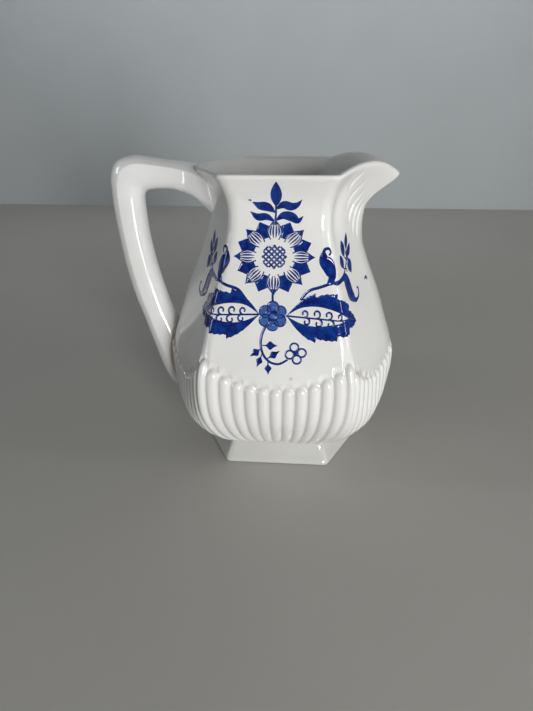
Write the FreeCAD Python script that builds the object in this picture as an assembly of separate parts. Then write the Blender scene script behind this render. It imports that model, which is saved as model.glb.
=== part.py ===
"""Porcelain cream jug: a six-sided reeded body with a pulled spout, a foot ring and a luted handle.

Millimetres. The origin is the centre of the foot on the table. +Z is up, +X points out through the
spout, the handle is at -X, and the printed front panel faces -Y.
"""
import FreeCAD, Part
import math
import os
from FreeCAD import Vector

# ---------------------------------------------------------------- driving dimensions
FOOT_HEIGHT = 8.5
# Half-width of the foot's front side at each height.
FOOT_PROFILE = [(0.0, 20.2), (0.5, 20.7), (1.6, 20.8), (4.0, 19.9), (6.5, 19.1), (FOOT_HEIGHT, 18.6)]
RIM_HEIGHT = 115.0
WALL = 3.9
FLOOR_TOP = 9.5              # inside of the jug's floor
FLOOR_UNDER = 4.0            # underside of the floor, inside the foot ring
RECESS_HALF_WIDTH = 13.5     # half-width of the recess inside the foot ring

# Half-width of the front panel at each height, from the foot's neck up to the rim.
PANEL_PROFILE = [
    (FOOT_HEIGHT, 18.6), (14.4, 21.9), (23.0, 25.4), (31.0, 27.4), (38.2, 28.15), (46.2, 27.8),
    (55.4, 26.0), (64.6, 24.2), (79.6, 20.6), (89.5, 18.5), (97.4, 17.2), (102.9, 17.1),
    (106.4, 17.6), (109.9, 18.7), (112.7, 19.8), (RIM_HEIGHT, 20.9),
]
# The plan is a six-sided figure with blunt ends. These are ratios to the panel's half-width.
PANEL_DISTANCE = 1.72        # the front panel's distance from the axis
END_REACH = 1.67             # reach of the blunt ends along X
END_HALF_FLAT = 0.36         # half-width of the blunt ends
CORNER_EASE = 3.0            # how far from a corner its rounding starts
END_EASE = 4.9

# Reach of the spout along X, over the height.
SPOUT_PROFILE = [
    (85.0, 32.3), (90.0, 31.6), (97.0, 31.7), (101.0, 32.6), (105.0, 35.4), (108.5, 39.2),
    (112.5, 43.7), (RIM_HEIGHT, 45.9),
]
SPOUT_BASE = 85.0
SPOUT_SHOULDER_X = 24.0      # the spout's piece starts here
SPOUT_SHOULDER_Z = 88.0
SPLIT_BLOCK = (60.0, 120.0, 60.0)        # sides of the block that cuts the spout from the body
SPOUT_NOSE = 1.5             # half-width of the spout's nose
SPOUT_CREST_X = 32.5         # the lip is highest here
SPOUT_CREST = 3.2            # and stands this far over the rim
SPOUT_TIP_DROP = 2.0
SPOUT_FORMED_Z = 107.0       # from here up the spout has its full narrow nose
LIFT_BASE = 96.0             # the lip's rise fades out at this height

REED_HEIGHT = 0.9
REED_ROOT = 0.4              # depth of a reed's root in the wall
REED_FOOT_Z = 9.2
REED_CORNER_DROP = 0.5       # how much lower a reed stands on a corner of the plan
REEDS_PER_PANEL = 12
REEDS_PER_SIDE = 10
REEDS_PER_END = 4
FRONT_SWAG = (42.5, 9.5)     # height of the reed tips mid-panel, and their rise to the corner
SIDE_SWAG = (40.8, 10.5)
END_SWAG = (46.0, 4.5)

HANDLE_HALF_THICKNESS = 6.7
SLIP = 0.5                   # thickness of the slip under the handle's two ends
FILM = 0.12                  # thickness of the printed transfer

# Outer and inner edge of the handle in the plane Y = 0, from the rim round to the belly.
HANDLE_OUTER = [
    (-20.0, 114.6), (-30.0, 115.3), (-38.0, 115.9), (-46.0, 116.6), (-53.0, 117.6), (-60.5, 118.3),
    (-66.8, 116.4), (-68.6, 110.8), (-68.7, 104.0), (-68.4, 96.0), (-67.4, 86.0), (-66.1, 75.0),
    (-63.8, 63.0), (-60.4, 51.5), (-56.9, 39.5), (-53.4, 28.0), (-49.6, 20.0), (-44.0, 15.5),
]
HANDLE_INNER = [
    (-20.0, 93.0), (-29.5, 97.6), (-36.0, 102.6), (-43.0, 105.2), (-49.0, 105.4), (-53.5, 105.2),
    (-55.6, 103.9), (-56.0, 101.0), (-55.8, 98.0), (-55.5, 92.5), (-54.8, 85.0), (-53.2, 75.5),
    (-50.8, 65.0), (-47.6, 54.5), (-42.5, 44.0), (-38.0, 33.0), (-35.5, 26.0), (-33.0, 20.0),
]
# Half-thickness of the handle along Y at each of those stations, as a share of the stem's.
HANDLE_FLARE = [1.75, 1.45, 1.12, 1.02] + [1.0] * 11 + [0.97, 0.85, 0.6]

SECTION_POLES = 12

PRINT_PLANE_Y = -60.0        # the print's outlines are drawn here and pushed through the wall
PRINT_PUSH = 45.0
# Round figures of the print: centre X and Z, half-width, half-height and number of lobes.
PRINT_ROUNDS = [
    (-1.5, 87.3, 13.3, 11.3, 8),
    (-1.5, 67.9, 5.3, 5.0, 6),
    (7.0, 55.6, 4.0, 4.0, 4),
]
# Leaves of the print on the front: base and tip as (X, Z), and half-width.
PRINT_LEAVES = [
    ((-1.0, 104.6), (-0.9, 110.8), 1.8),
    ((-0.4, 103.2), (7.5, 105.8), 1.3),
    ((-0.4, 99.6), (8.1, 101.0), 1.4),
    ((-1.9, 102.6), (-10.2, 106.0), 1.3),
    ((-2.0, 99.4), (-9.9, 101.6), 1.3),
    ((4.6, 68.2), (27.5, 66.0), 6.2),
    ((-7.4, 68.4), (-28.0, 67.6), 6.0),
    ((17.6, 78.5), (16.6, 90.0), 2.3),
    ((25.2, 80.5), (25.0, 91.0), 2.0),
    ((-20.6, 80.8), (-21.4, 90.4), 1.5),
    ((-24.6, 80.0), (-24.0, 92.5), 1.8),
]


# ---------------------------------------------------------------- helpers
def read_profile(profile, z):
    """Smooth curve through the profile's points (Catmull-Rom), read at height z."""
    if z <= profile[0][0]:
        return profile[0][1]
    if z >= profile[-1][0]:
        return profile[-1][1]
    i = 0
    while profile[i + 1][0] < z:
        i += 1
    slopes = []
    for j in (i, i + 1):
        low = profile[max(j - 1, 0)]
        high = profile[min(j + 1, len(profile) - 1)]
        slopes.append((high[1] - low[1]) / (high[0] - low[0]))
    span = profile[i + 1][0] - profile[i][0]
    t = (z - profile[i][0]) / span
    start = (2 * t ** 3 - 3 * t ** 2 + 1) * profile[i][1] + (t ** 3 - 2 * t ** 2 + t) * span * slopes[0]
    end = (3 * t ** 2 - 2 * t ** 3) * profile[i + 1][1] + (t ** 3 - t ** 2) * span * slopes[1]
    return start + end


def smooth_step(low, high, value):
    t = min(max((value - low) / (high - low), 0.0), 1.0)
    return t * t * (3 - 2 * t)


def mix(a, b, t):
    return a + (b - a) * t


def clamped_knots(count):
    inner = count - 4
    return [4] + [1] * inner + [4], [float(i) for i in range(inner + 2)]


def tube_face(rings):
    """Cubic surface with one closed ring of poles per row; first and last ring are kept exactly."""
    around = len(rings[0])
    poles = [[ring[i] for ring in rings] for i in range(around)]
    ring_knots = [float(i) for i in range(around + 1)]
    along_degree = min(3, len(rings) - 1)
    if along_degree == 3:
        mults, knots = clamped_knots(len(rings))
    else:
        mults, knots = [2, 2], [0.0, 1.0]
    surface = Part.BSplineSurface()
    surface.buildFromPolesMultsKnots(
        poles, [1] * (around + 1), mults, ring_knots, knots, True, False, 3, along_degree)
    return surface.toShape()


def capped_tube(rings):
    """Solid with a flat cap on the first and on the last ring."""
    tube = tube_face(rings)
    rims = [edge for edge in tube.Edges if edge.isClosed()]
    return solid_from([tube] + [Part.Face(Part.Wire([rim])) for rim in rims])


def solid_from(faces):
    shell = Part.Shell(faces)
    shell.sewShape()
    solid = Part.Solid(shell)
    solid.fix(0.001, 0.001, 0.001)
    if solid.Volume < 0:
        solid.reverse()
    return solid


# ---------------------------------------------------------------- plan sections of the body
def section_at(z):
    """Eight corners of the outer plan section at nominal height z, counter-clockwise."""
    half = read_profile(PANEL_PROFILE, z)
    depth = PANEL_DISTANCE * half
    reach = END_REACH * half
    flat = END_HALF_FLAT * half
    spout_reach = reach
    spout_flat = flat
    if z > SPOUT_BASE:
        spout_reach = read_profile(SPOUT_PROFILE, z)
        spout_flat = mix(flat, SPOUT_NOSE, smooth_step(SPOUT_BASE, SPOUT_FORMED_Z, z))
    return [
        Vector(spout_reach, -spout_flat), Vector(spout_reach, spout_flat),
        Vector(half, depth), Vector(-half, depth),
        Vector(-reach, flat), Vector(-reach, -flat),
        Vector(-half, -depth), Vector(half, -depth),
    ]


def plain_section(half):
    """Plan section with no spout, for the foot and its recess."""
    depth = PANEL_DISTANCE * half
    reach = END_REACH * half
    flat = END_HALF_FLAT * half
    return [
        Vector(reach, -flat), Vector(reach, flat), Vector(half, depth), Vector(-half, depth),
        Vector(-reach, flat), Vector(-reach, -flat), Vector(-half, -depth), Vector(half, -depth),
    ]


def outward(start, end):
    along = (end - start).normalize()
    return Vector(along.y, -along.x)


def inset(corners, distance):
    """Move every side of the section inwards by distance."""
    moved = []
    for i, corner in enumerate(corners):
        before = outward(corners[i - 1], corner)
        after = outward(corner, corners[(i + 1) % 8])
        moved.append(corner - (before + after) * (distance / (1 + before.dot(after))))
    return moved


def section_ring(corners):
    """Poles round a section: three at each eased corner and two along each side."""
    ring = []
    for i, corner in enumerate(corners):
        before = corners[i - 1] - corner
        after = corners[(i + 1) % 8] - corner
        ease = END_EASE if i in (0, 1, 4, 5) else CORNER_EASE
        ease_before = min(ease, 0.3 * before.Length)
        ease_after = min(ease, 0.3 * after.Length)
        next_ease = END_EASE if (i + 1) % 8 in (0, 1, 4, 5) else CORNER_EASE
        last = 1 - min(next_ease, 0.3 * after.Length) / after.Length
        first = ease_after / after.Length
        ring.append(corner + before * (ease_before / before.Length))
        ring.append(corner)
        ring.append(corner + after * first)
        ring.append(corner + after * mix(first, last, 1 / 3))
        ring.append(corner + after * mix(first, last, 2 / 3))
    return ring


def lip_rise(x):
    """Rise of the lip above the level rim, by the rim's own X."""
    if x < SPOUT_CREST_X:
        shoulder = PANEL_PROFILE[-1][1]
        run = max(SPOUT_CREST_X - x, 0.0) / (SPOUT_CREST_X - shoulder)
        return SPOUT_CREST * max(1 - run ** 2, 0.0)
    run = (x - SPOUT_CREST_X) / (SPOUT_PROFILE[-1][1] - SPOUT_CREST_X)
    return SPOUT_CREST - (SPOUT_CREST + SPOUT_TIP_DROP) * run ** 2


RIM_RING = section_ring(section_at(RIM_HEIGHT))


def wall_ring(z, distance):
    """Ring of poles at nominal height z, moved inwards by distance, with the lip's rise."""
    share = smooth_step(LIFT_BASE, RIM_HEIGHT, z)
    ring = section_ring(inset(section_at(z), distance))
    return [Vector(p.x, p.y, z + share * lip_rise(rim.x)) for p, rim in zip(ring, RIM_RING)]


def flat_ring(corners, z):
    return [Vector(p.x, p.y, z) for p in section_ring(corners)]


OUTER_HEIGHTS = [FOOT_HEIGHT + 4.0 * i for i in range(23)] + [99.5, 102.0, 104.5, 107.0, 109.5, 111.5, 113.0]
LIP_ROWS = [(114.2, 0.0), (115.1, 0.9), (115.1, WALL - 1.0), (114.2, WALL)]
INNER_HEIGHTS = [112.5, 110.0, 107.5, 104.5, 101.0, 96.0, 90.0] + [82.0 - 8.0 * i for i in range(8)] + [20.0]
FLOOR_ROWS = [(14.5, 4.0), (11.6, 5.6), (9.9, 8.4), (FLOOR_TOP, 12.0)]
ENVELOPE_CAP_HEIGHTS = (117.0, 121.0, 126.0)


# ---------------------------------------------------------------- pieces
def recess_prism(bottom, top):
    corners = [Vector(p.x, p.y, bottom) for p in plain_section(RECESS_HALF_WIDTH)]
    outline = Part.makePolygon(corners + corners[:1])
    return Part.Face(outline).extrude(Vector(0, 0, top - bottom))


def make_vessel():
    """Wall, rim and floor, with the spout still on it."""
    rings = [wall_ring(z, 0.0) for z in OUTER_HEIGHTS]
    rings += [wall_ring(z, distance) for z, distance in LIP_ROWS]
    rings += [wall_ring(z, WALL) for z in INNER_HEIGHTS]
    bottom_section = section_at(FLOOR_ROWS[0][0])
    rings += [flat_ring(inset(bottom_section, distance), z) for z, distance in FLOOR_ROWS]
    return capped_tube(rings).fuse(recess_prism(FLOOR_UNDER, FOOT_HEIGHT + 0.5)).removeSplitter()


def split_spout(vessel):
    """Cut the spout off the vessel along a level and an upright plane."""
    block = Part.makeBox(*SPLIT_BLOCK, Vector(SPOUT_SHOULDER_X, -SPLIT_BLOCK[1] / 2, SPOUT_SHOULDER_Z))
    return vessel.cut(block), vessel.common(block)


def make_foot_ring():
    foot = capped_tube([flat_ring(plain_section(half), z) for z, half in FOOT_PROFILE])
    return foot.cut(recess_prism(0.0, FOOT_HEIGHT))


def make_envelope(distance):
    """The body's outside as one filled solid, grown by distance and carried up past the rim."""
    rings = [wall_ring(z, -distance) for z in OUTER_HEIGHTS]
    top_section = inset(section_at(RIM_HEIGHT), -distance)
    rings += [flat_ring(top_section, z) for z in ENVELOPE_CAP_HEIGHTS]
    return capped_tube(rings)


def handle_ring(outer, inner, half_thickness):
    """Section of the handle: a softened hexagon between its outer and inner edge."""
    middle = (outer + inner) * 0.5
    half = (outer - inner) * 0.5
    pole_swell = 6.0 / (4.0 + 2.0 * math.cos(2 * math.pi / SECTION_POLES))
    ring = []
    for i in range(SECTION_POLES):
        angle = 2 * math.pi * i / SECTION_POLES
        share = pole_swell if i in (0, SECTION_POLES // 2) else 1.04 * pole_swell
        ring.append(middle + half * (share * math.cos(angle))
                    + Vector(0, share * half_thickness * math.sin(angle), 0))
    return ring


def make_raw_handle():
    rings = []
    for (xo, zo), (xi, zi), flare in zip(HANDLE_OUTER, HANDLE_INNER, HANDLE_FLARE):
        rings.append(handle_ring(Vector(xo, 0, zo), Vector(xi, 0, zi), flare * HANDLE_HALF_THICKNESS))
    return capped_tube(rings)


def swag_height(base_and_rise, across):
    """Height of the reed tips; across runs from -1 to 1 over the panel."""
    base, rise = base_and_rise
    return base + rise * across ** 2


def reed_stations():
    """Each reed's panel (its first corner), place along the panel, and tip height."""
    counts = [REEDS_PER_END, REEDS_PER_SIDE, REEDS_PER_PANEL, REEDS_PER_SIDE] * 2
    swags = [END_SWAG, SIDE_SWAG, FRONT_SWAG, SIDE_SWAG] * 2
    stations = []
    for panel in range(8):
        for k in range(counts[panel]):
            under_handle = panel == 4 and k > 0
            if not under_handle:
                place = k / counts[panel]
                tip = swag_height(swags[panel], 2 * place - 1)
                stations.append((panel, place, 0.5 / counts[panel], tip))
    return stations


def panel_point(z, panel, place, height):
    """Point standing height above the wall at a place along a panel; past its ends it turns the corner."""
    corners = section_at(z)
    if place < 0:
        panel = (panel - 1) % 8
        length = (corners[(panel + 1) % 8] - corners[panel]).Length
        next_length = (corners[(panel + 2) % 8] - corners[(panel + 1) % 8]).Length
        place = 1 + place * next_length / length
    start = corners[panel]
    end = corners[(panel + 1) % 8]
    normal = outward(start, end)
    if place == 0:
        normal = (normal + outward(corners[panel - 1], start)).normalize()
        height -= REED_CORNER_DROP
    point = start + (end - start) * place + normal * height
    return Vector(point.x, point.y, z)


def make_reed(panel, place, half_step, tip):
    """One reed: a rounded finger of two patches that share their border."""
    rows = 9
    outside = []
    inside = []
    for row in range(rows):
        t = row / (rows - 1)
        end_distance = min(t, 1 - t) * 2
        width = half_step * (0.25 + 0.72 * min(1.0, 3.2 * end_distance) ** 0.5)
        height = REED_HEIGHT * min(1.0, 3.0 * end_distance)
        z = mix(REED_FOOT_Z, tip, t)
        border = [panel_point(z, panel, place - width, 0), panel_point(z, panel, place + width, 0)]
        crest = [panel_point(z, panel, place + s * width, 1.25 * height) for s in (-0.6, 0, 0.6)]
        root = [panel_point(z, panel, place + s * width, -REED_ROOT) for s in (-0.6, 0, 0.6)]
        if row in (0, rows - 1):
            root = crest
        outside.append([border[0]] + crest + [border[1]])
        inside.append([border[0]] + root + [border[1]])
    faces = []
    across_mults, across_knots = clamped_knots(5)
    along_mults, along_knots = clamped_knots(rows)
    for grid in (outside, inside):
        surface = Part.BSplineSurface()
        surface.buildFromPolesMultsKnots(
            grid, along_mults, across_mults, along_knots, across_knots, False, False, 3, 3)
        faces.append(surface.toShape())
    return solid_from(faces)


def lobed_outline(centre_x, centre_z, half_width, half_height, lobes):
    """Round outline with shallow lobes, in the print's plane."""
    points = []
    for i in range(4 * lobes):
        angle = math.pi * i / (2 * lobes)
        share = 0.93 + 0.07 * math.cos(lobes * angle)
        x = centre_x + half_width * share * math.sin(angle)
        z = centre_z + half_height * share * math.cos(angle)
        points.append(Vector(x, PRINT_PLANE_Y, z))
    return points


def leaf_outline(base, tip, half_width):
    """Pointed oval from base to tip."""
    start = Vector(base[0], PRINT_PLANE_Y, base[1])
    end = Vector(tip[0], PRINT_PLANE_Y, tip[1])
    along = end - start
    side = Vector(-along.z, 0, along.x).normalize()
    middle = start + along * 0.5
    return [start, middle - side * half_width, end, middle + side * half_width]


def closed_prism(points):
    curve = Part.BSplineCurve()
    curve.interpolate(Points=points, PeriodicFlag=True)
    face = Part.Face(Part.Wire([curve.toShape()]))
    return face.extrude(Vector(0, PRINT_PUSH, 0))


def make_print(envelope, grown_envelope, turn):
    """Thin films of the flower spray, wrapped on the body's outside; turn is their angle about Z."""
    outlines = [lobed_outline(*figure) for figure in PRINT_ROUNDS]
    outlines += [leaf_outline(base, tip, half_width) for base, tip, half_width in PRINT_LEAVES]
    films = []
    for outline in outlines:
        prism = closed_prism(outline)
        prism.rotate(Vector(0, 0, 0), Vector(0, 0, 1), turn)
        films += prism.common(grown_envelope).cut(envelope).Solids
    return Part.Compound(films)


# ---------------------------------------------------------------- build and export
def build_all():
    body, spout = split_spout(make_vessel())
    envelope = make_envelope(0.0)
    slip_envelope = make_envelope(SLIP)
    raw_handle = make_raw_handle()
    film_envelope = make_envelope(FILM)
    return {
        "body": body,
        "foot_ring": make_foot_ring(),
        "spout": spout,
        "belly_reeds": Part.Compound([make_reed(*station) for station in reed_stations()]),
        "handle": raw_handle.cut(slip_envelope),
        "handle_slip": raw_handle.common(slip_envelope).cut(envelope),
        "front_print": make_print(envelope, film_envelope, 0),
        "back_print": make_print(envelope, film_envelope, 180),
    }


os.makedirs("parts", exist_ok=True)
for name, shape in build_all().items():
    print(name, "valid", shape.isValid(), "solids", len(shape.Solids), "volume", round(shape.Volume))
    box = shape.BoundBox
    print("   x %.1f %.1f  y %.1f %.1f  z %.1f %.1f" % (
        box.XMin, box.XMax, box.YMin, box.YMax, box.ZMin, box.ZMax))
    shape.exportStep("parts/%s.step" % name)
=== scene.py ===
"""Visual model of the porcelain cream jug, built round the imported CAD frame.

Shapes are written in the jug's own nominal millimetres and scaled by MM, which comes from the frame's
height. +Z is up, +X points out through the spout, and the printed front panel faces -Y.
"""
import math

import bpy
import numpy as np
from mathutils import Matrix, Vector


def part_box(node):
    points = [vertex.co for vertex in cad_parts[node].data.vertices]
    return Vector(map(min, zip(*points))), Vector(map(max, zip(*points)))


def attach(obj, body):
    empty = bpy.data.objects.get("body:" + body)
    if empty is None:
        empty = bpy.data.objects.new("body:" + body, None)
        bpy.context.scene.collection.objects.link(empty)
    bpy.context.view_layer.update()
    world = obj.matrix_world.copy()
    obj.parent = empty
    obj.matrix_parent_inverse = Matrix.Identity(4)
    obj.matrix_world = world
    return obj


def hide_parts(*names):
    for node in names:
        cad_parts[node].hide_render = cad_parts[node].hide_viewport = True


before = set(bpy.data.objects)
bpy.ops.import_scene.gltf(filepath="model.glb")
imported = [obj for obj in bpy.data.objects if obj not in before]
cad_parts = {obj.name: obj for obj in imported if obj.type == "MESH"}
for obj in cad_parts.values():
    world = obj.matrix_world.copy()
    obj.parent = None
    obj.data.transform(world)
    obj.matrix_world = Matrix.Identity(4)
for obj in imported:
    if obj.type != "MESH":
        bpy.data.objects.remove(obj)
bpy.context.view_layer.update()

# ---- sizes
NOMINAL_HEIGHT = 118.08
HANDLE_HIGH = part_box("handle")[1]
FOOT_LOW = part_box("foot_ring")[0]
MM = (HANDLE_HIGH[2] - FOOT_LOW[2]) / NOMINAL_HEIGHT  # metres in one nominal millimetre

FOOT_TOP = 8.5
RIM = 115.0
WALL = 3.9
FLOOR_TOP = 9.5
RECESS_TOP = 4.0
RECESS_HALF = 13.5

# Half-width of the front panel at each height.
PANEL_PROFILE = [
    (FOOT_TOP, 18.6), (14.4, 22.5), (23.0, 26.0), (31.0, 27.7), (38.2, 28.15), (46.2, 27.8),
    (55.4, 26.0), (64.6, 24.2), (79.6, 20.6), (89.5, 18.5), (97.4, 17.2), (102.9, 17.1),
    (106.4, 17.6), (109.9, 18.7), (112.7, 19.8), (RIM, 20.9),
]
WIDEST = max(half for z, half in PANEL_PROFILE)

# The rest of the plan, in panel half-widths.
PANEL_DISTANCE = 1.72  # from the jug's axis to the front panel
END_REACH = 1.67  # to the blunt ends
END_HALF_FLAT = 0.36  # half-width of a blunt end
END_ROUNDING = 0.31  # rounding of the blunt ends' corners
FRONT_ROUNDING = 3.2  # rounding of the front and back corners, in millimetres

FOOT_PROFILE = [(0.0, 20.0), (0.35, 20.55), (1.2, 20.75), (4.0, 19.8), (6.5, 19.0), (FOOT_TOP, 18.5)]

# How far the middle of each slanting side bulges over its flat, low on the belly.
SIDE_BULGE = [
    (FOOT_TOP, 0.4), (12.0, 3.5), (16.0, 4.8), (24.0, 3.5), (32.0, 1.3), (45.0, 0.2), (52.0, 0.0),
]
SLANTING_SIDES = (1, 3, 5, 7)

# Reach of the spout along X at each height, and its pouring lip.
SPOUT_BASE = 85.0
SPOUT_PROFILE = [
    (SPOUT_BASE, 32.3), (90.0, 31.6), (97.0, 31.7), (101.0, 32.6), (105.0, 35.4), (108.5, 39.2),
    (112.5, 43.6), (RIM, 44.9),
]
SPOUT_FORMED_Z = 107.0  # from here up its nose is fully narrow
SPOUT_NOSE = 1.3  # half-width of the nose
SPOUT_CREST_X = 32.5  # where the lip is highest
SPOUT_CREST = 3.0
SPOUT_TIP_DROP = 2.0  # how far the pouring tip is under the level rim
LIFT_BASE = 96.0  # the wall follows the lip's rise from here up

REEDS = [4, 10, 12, 10] * 2  # reeds on each side of the plan, from the spout's end round
HANDLE_SIDE = 4  # the handle covers this side, so it has reeds at its corners only
HANDLE_COVER = 0.4  # share of the side that is bare, each way from its middle
REED_STEPS = 10  # mesh steps across one reed
REED_HEIGHT = 1.25
CORNER_REED = 1.2  # how many times higher the corner reeds stand
REED_ROUNDNESS = 2.5  # exponent of the reed's cross-section
REED_TIP_LENGTH = 2.8
REED_START = 2.2  # the reeds are full from this far over the foot
REED_START_LENGTH = 1.9  # and round off over this length below
GROOVE_WIDTH = 0.22  # half-width of the painted shade in the grooves, in reed half-widths
PANEL_LEVEL = 0.55  # how far the plain panel stands over the grooves
PANEL_EDGE = (1.0, 1.9)  # the panel rises over this stretch, in reed half-widths
LOW_BELLY = 30.0  # below this height there is no plain panel
LOW_LEVEL = 0.3  # share of the panel's level that is left there

CORNER_TIP = 52.3  # height of the reed tips at the front and back corners
END_TIP = 45.2  # and at the corners of the blunt ends
MID_TIP = {4: 44.6, 10: 40.8, 12: 42.4}  # and in the middle of a side with so many reeds
SIDE_TIPS = [(END_TIP, END_TIP), (END_TIP, CORNER_TIP), (CORNER_TIP, CORNER_TIP), (CORNER_TIP, END_TIP)] * 2


# ---- small helpers
def curve_through(points, at):
    """Smooth curve through (key, value) points, read at the keys in at."""
    keys = np.array([p[0] for p in points], float)
    values = np.array([p[1] for p in points], float)
    slopes = np.gradient(values, keys)
    at = np.clip(np.asarray(at, float), keys[0], keys[-1])
    i = np.clip(np.searchsorted(keys, at, side="right") - 1, 0, len(keys) - 2)
    span = keys[i + 1] - keys[i]
    t = (at - keys[i]) / span
    start = (2 * t**3 - 3 * t**2 + 1) * values[i] + (t**3 - 2 * t**2 + t) * span * slopes[i]
    end = (3 * t**2 - 2 * t**3) * values[i + 1] + (t**3 - t**2) * span * slopes[i + 1]
    return start + end


def curve_points(points, keys, at):
    """Points of a smooth curve through the given ones, each of which has its key."""
    return np.stack([curve_through(list(zip(keys, values)), at) for values in np.transpose(points)], axis=-1)


def smooth_step(low, high, value):
    t = np.clip((value - low) / (high - low), 0.0, 1.0)
    return t * t * (3 - 2 * t)


def unit(vectors):
    return vectors / np.maximum(np.linalg.norm(vectors, axis=-1, keepdims=True), 1e-9)


def make_object(name, points, faces, smooth=True):
    """Mesh object from nominal-millimetre points."""
    mesh = bpy.data.meshes.new(name)
    mesh.from_pydata((np.asarray(points) * MM).tolist(), [], faces)
    mesh.update()
    for polygon in mesh.polygons:
        polygon.use_smooth = smooth
    obj = bpy.data.objects.new(name, mesh)
    bpy.context.scene.collection.objects.link(obj)
    return obj


def grid_faces(rows, columns, first=0, closed=True):
    """Quads of a rows x columns grid of vertices; closed joins the last column to the first."""
    faces = []
    span = columns if closed else columns - 1
    for row in range(rows - 1):
        base = first + row * columns
        for column in range(span):
            after = (column + 1) % columns
            faces.append((base + column, base + after, base + columns + after, base + columns + column))
    return faces


def fan_faces(ring_start, columns, centre, flip):
    """Triangles that close a ring on a centre vertex."""
    faces = []
    for column in range(columns):
        here, after = ring_start + column, ring_start + (column + 1) % columns
        faces.append((after, here, centre) if flip else (here, after, centre))
    return faces


def closed_object(name, rings, first_centre, last_centre, upwards=True):
    """Object from rings of points, its first and last ring closed on a centre; and all its points."""
    rows, columns = rings.shape[:2]
    points = np.concatenate([rings.reshape(-1, 3), [first_centre, last_centre]])
    faces = grid_faces(rows, columns)
    faces += fan_faces(0, columns, rows * columns, True)
    faces += fan_faces((rows - 1) * columns, columns, rows * columns + 1, False)
    if not upwards:
        faces = [face[::-1] for face in faces]
    return make_object(name, points, faces), points


# ---- plan sections
def corners_at(z):
    """Corners of the outer plan section for each height in z: array (heights, 8, 2)."""
    half = curve_through(PANEL_PROFILE, z)
    depth = PANEL_DISTANCE * half
    reach = END_REACH * half
    flat = END_HALF_FLAT * half
    blend = smooth_step(SPOUT_BASE, SPOUT_FORMED_Z, z)
    spout_reach = np.where(z > SPOUT_BASE, curve_through(SPOUT_PROFILE, z), reach)
    spout_flat = flat + (SPOUT_NOSE - flat) * blend
    x = np.stack([spout_reach, spout_reach, half, -half, -reach, -reach, -half, half], axis=-1)
    y = np.stack([-spout_flat, spout_flat, depth, depth, flat, -flat, -depth, -depth], axis=-1)
    return np.stack([x, y], axis=-1)


def plain_corners(half):
    """The same plan with no spout, for the foot."""
    half = np.asarray(half, float)
    reach, flat, depth = END_REACH * half, END_HALF_FLAT * half, PANEL_DISTANCE * half
    x = np.stack([reach, reach, half, -half, -reach, -reach, -half, half], axis=-1)
    y = np.stack([-flat, flat, depth, depth, flat, -flat, -depth, -depth], axis=-1)
    return np.stack([x, y], axis=-1)


def inset(corners, distance):
    """Move every side of each section inwards by its row's distance."""
    distance = np.asarray(distance, float).reshape(-1, 1, 1)
    along_before = unit(corners - np.roll(corners, 1, axis=1))
    along_after = unit(np.roll(corners, -1, axis=1) - corners)
    before = np.stack([along_before[..., 1], -along_before[..., 0]], axis=-1)
    after = np.stack([along_after[..., 1], -along_after[..., 0]], axis=-1)
    spread = 1 + np.sum(before * after, axis=-1, keepdims=True)
    return corners - (before + after) * distance / spread


def ring_places(steps):
    """Side number and place along it, from 0 to 1, of every vertex round the plan."""
    side = []
    place = []
    for number, reeds in enumerate(REEDS):
        count = reeds * steps
        side += [number] * count
        place += [k / count for k in range(count)]
    return np.array(side), np.array(place)


def eased_points(corners, eases, side, place):
    """Points on the sections with their corners rounded: array (heights, around, 2)."""
    rows = np.arange(len(corners))[:, None]
    side = np.atleast_2d(side)
    start = corners[rows, side]
    end = corners[rows, (side + 1) % 8]
    ahead = corners[rows, (side + 2) % 8]
    behind = corners[rows, side - 1]
    length = np.linalg.norm(end - start, axis=-1)
    length_behind = np.linalg.norm(start - behind, axis=-1)
    length_ahead = np.linalg.norm(ahead - end, axis=-1)
    ease_start = np.minimum(eases[rows, side], 0.45 * np.minimum(length, length_behind))
    ease_end = np.minimum(eases[rows, (side + 1) % 8], 0.45 * np.minimum(length, length_ahead))
    place = np.atleast_2d(place)
    from_start = place * length
    to_end = (1 - place) * length
    points = start + (end - start) * place[..., None]

    def bend(corner, towards_before, towards_after, ease, t):
        p0 = corner + unit(towards_before) * ease[..., None]
        p2 = corner + unit(towards_after) * ease[..., None]
        t = t[..., None]
        return (1 - t) ** 2 * p0 + 2 * t * (1 - t) * corner + t**2 * p2

    t_start = 0.5 + 0.5 * from_start / ease_start
    near_start = from_start < ease_start
    points = np.where(near_start[..., None],
                      bend(start, behind - start, end - start, ease_start, np.minimum(t_start, 1)), points)
    t_end = 0.5 - 0.5 * to_end / ease_end
    near_end = to_end < ease_end
    return np.where(near_end[..., None],
                    bend(end, start - end, ahead - end, ease_end, np.maximum(t_end, 0)), points)


def eases_at(z):
    """Rounding of each corner for each height."""
    end = END_ROUNDING * curve_through(PANEL_PROFILE, z)
    front = np.full(np.shape(z), FRONT_ROUNDING)
    return np.stack([end, end, front, front, end, end, front, front], axis=-1)


def lip_rise(x):
    """Rise of the lip over the level rim, by the rim's own X."""
    shoulder = PANEL_PROFILE[-1][1]
    up = np.clip((SPOUT_CREST_X - x) / (SPOUT_CREST_X - shoulder), 0, 1)
    down = np.clip((x - SPOUT_CREST_X) / (SPOUT_PROFILE[-1][1] - SPOUT_CREST_X), 0, 1)
    return SPOUT_CREST * (1 - up**2) - (SPOUT_CREST + SPOUT_TIP_DROP) * down**2


def side_bulge(z, side, place):
    """Outward shift in plan of every point: the slanting sides are rounded low on the belly."""
    corners = corners_at(z)
    along = unit(np.roll(corners, -1, axis=1) - corners)
    outward = np.stack([along[..., 1], -along[..., 0]], axis=-1)[:, side]
    share = np.where(np.isin(side, SLANTING_SIDES), 4 * place * (1 - place), 0.0)
    return outward * (curve_through(SIDE_BULGE, z)[:, None] * share[None, :])[..., None]


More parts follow.
